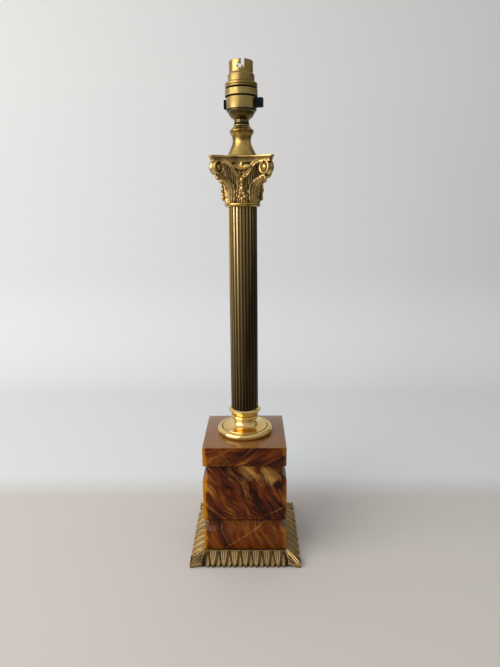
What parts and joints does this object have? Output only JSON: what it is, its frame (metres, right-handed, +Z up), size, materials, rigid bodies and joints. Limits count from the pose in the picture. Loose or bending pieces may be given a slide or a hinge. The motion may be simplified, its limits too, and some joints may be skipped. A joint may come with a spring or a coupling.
{
  "type": "column table lamp",
  "caption": "Table lamp with a fluted brass column, leaf-cast brass foot, stone plinth, Corinthian capital and a bayonet lampholder with a push-through switch.",
  "frame": {"origin": "centre of the lamp's foot, at the surface it stands on", "axes": "+Z up along the column, front towards -Y, cord outlet towards +Y"},
  "size_m": [0.1338, 0.1338, 0.562],
  "materials": {
    "cast_brass": "antique cast brass, dark in the hollows",
    "polished_brass": "polished",
    "column_brass": "aged, polished on the fillets",
    "satin_brass": "satin, slightly tarnished",
    "onyx": "polished banded red-brown onyx with cream veins",
    "black_plastic": "gloss",
    "moulded_insulator": "matte phenolic",
    "black_fibre": "matte",
    "baize": "green baize",
    "zinc_steel": "zinc plated"
  },
  "bodies": {
    "root": {"foot_casting": "cast_brass", "felt_pad": "baize", "cord_bush": "black_plastic", "tie_rod": "zinc_steel", "base_washer": "zinc_steel", "base_nut": "zinc_steel", "plinth_gasket": "black_fibre", "lower_onyx_block": "onyx", "onyx_die": "onyx", "onyx_slab": "onyx", "column_base": "polished_brass", "column_collar": "polished_brass", "fluted_column": "column_brass", "centring_discs": "zinc_steel", "capital": "cast_brass", "vase_neck": "column_brass", "neck_washer": "black_fibre", "lampholder_cap": "satin_brass", "switch_body": "satin_brass", "switch_moulding": "moulded_insulator", "fixed_contacts": "satin_brass", "line_terminals": "satin_brass", "terminal_screws": "zinc_steel", "earth_terminal": "satin_brass", "lampholder_barrel": "satin_brass", "plunger_carrier": "moulded_insulator", "plunger_spring_left": "zinc_steel", "plunger_spring_right": "zinc_steel"},
    "push_bar": {"push_bar": "black_plastic", "contact_bridge": "satin_brass"},
    "plunger_left": {"plunger_left": "satin_brass"},
    "plunger_right": {"plunger_right": "satin_brass"},
    "union_ring": {"union_ring": "satin_brass"},
    "shade_ring": {"shade_ring": "satin_brass"}
  },
  "joints": [
    {"name": "switch_slide", "type": "slide", "parent": "root", "child": "push_bar", "axis": [0.9588, -0.284, 0], "range_m": [-0.0048, 0]},
    {"name": "plunger_left_press", "type": "slide", "parent": "root", "child": "plunger_left", "axis": [0, 0, 1], "range_m": [-0.003, 0], "stiffness_N_per_m": 800, "springref_m": 0.002, "deforming": ["plunger_spring_left"]},
    {"name": "plunger_right_press", "type": "slide", "parent": "root", "child": "plunger_right", "axis": [0, 0, 1], "range_m": [-0.003, 0], "stiffness_N_per_m": 800, "springref_m": 0.002, "deforming": ["plunger_spring_right"]},
    {"name": "union_ring_turn", "type": "hinge", "parent": "root", "child": "union_ring", "pos_m": [0, 0, 0.5308], "axis": [0, 0, 1], "continuous": true},
    {"name": "shade_ring_turn", "type": "hinge", "parent": "root", "child": "shade_ring", "pos_m": [0, 0, 0.5385], "axis": [0, 0, 1], "continuous": true}
  ]
}
